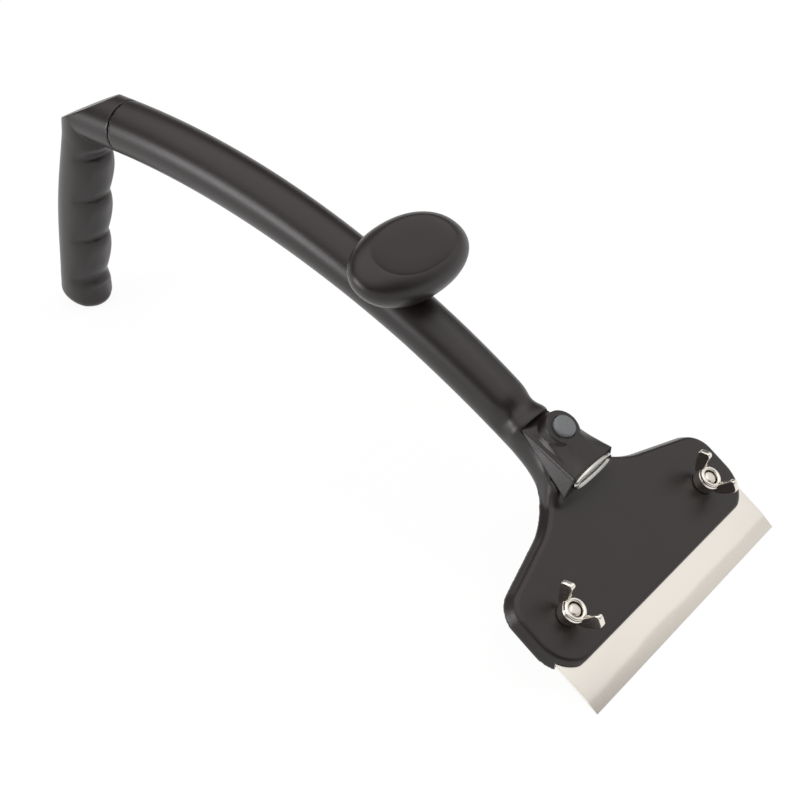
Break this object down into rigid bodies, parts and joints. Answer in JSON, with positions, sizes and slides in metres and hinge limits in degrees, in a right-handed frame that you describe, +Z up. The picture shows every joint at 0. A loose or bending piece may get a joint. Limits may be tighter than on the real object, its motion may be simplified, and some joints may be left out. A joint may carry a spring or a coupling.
{
  "type": "griddle scraper",
  "caption": "Long-handled griddle scraper: arched tube shaft with finger grip and palm knob, wide steel blade clamped by wing nuts, and a push-button blade light.",
  "frame": {"origin": "middle of the bounding box's bottom face, on the surface that the scraper stands on with its blade edge and the end of its grip", "axes": "+X from the grip towards the blade, +Y to the scraper's left, +Z up from the surface"},
  "size_m": [0.3918, 0.1466, 0.1315],
  "materials": {
    "satin_black_plastic": "satin moulded, fine even texture",
    "button_plastic": "satin grey",
    "chrome_trim": "bright plated",
    "wing_nut_chrome": "cast and plated, softly rounded",
    "blade_steel": "ground, brushed across the blade",
    "zinc_steel": "zinc plated",
    "clear_lens": "clear plastic lens",
    "lamp_epoxy": "clear yellowish epoxy",
    "board_laminate": "green laminate",
    "switch_plastic": "matte",
    "contact_spring_steel": "nickel plated"
  },
  "bodies": {
    "body": {"bezel_ring": "chrome_trim", "blade": "blade_steel", "bolt_left": "zinc_steel", "bolt_right": "zinc_steel", "cell_lower": "zinc_steel", "cell_upper": "zinc_steel", "circuit_board": "board_laminate", "clamp_plate": "zinc_steel", "contact_lower": "contact_spring_steel", "contact_upper": "contact_spring_steel", "grip_end_plug": "satin_black_plastic", "grip_screw": "zinc_steel", "knob_base": "satin_black_plastic", "knob_cap": "satin_black_plastic", "knob_screw": "zinc_steel", "lamp": "lamp_epoxy", "lens": "clear_lens", "light_housing": "satin_black_plastic", "light_screw_left": "zinc_steel", "light_screw_right": "zinc_steel", "light_tray": "satin_black_plastic", "rear_grip": "satin_black_plastic", "reflector": "chrome_trim", "shaft_body": "satin_black_plastic", "switch_body": "switch_plastic"},
    "button": {"push_button": "button_plastic", "switch_plunger": "switch_plastic"},
    "left_nut": {"wing_nut_left": "wing_nut_chrome"},
    "right_nut": {"wing_nut_right": "wing_nut_chrome"}
  },
  "joints": [
    {"name": "button_press", "type": "slide", "parent": "body", "child": "button", "axis": [-0.5166, 0, -0.8562], "range_m": [0, 0.0006], "stiffness_N_per_m": 400, "springref_m": -0.002},
    {"name": "left_nut_turn", "type": "hinge", "parent": "body", "child": "left_nut", "pos_m": [0.16806, 0.05195, 0.0221], "axis": [0.5166, 0, 0.8562], "continuous": true},
    {"name": "right_nut_turn", "type": "hinge", "parent": "body", "child": "right_nut", "pos_m": [0.16806, -0.05195, 0.0221], "axis": [0.5166, 0, 0.8562], "continuous": true}
  ]
}
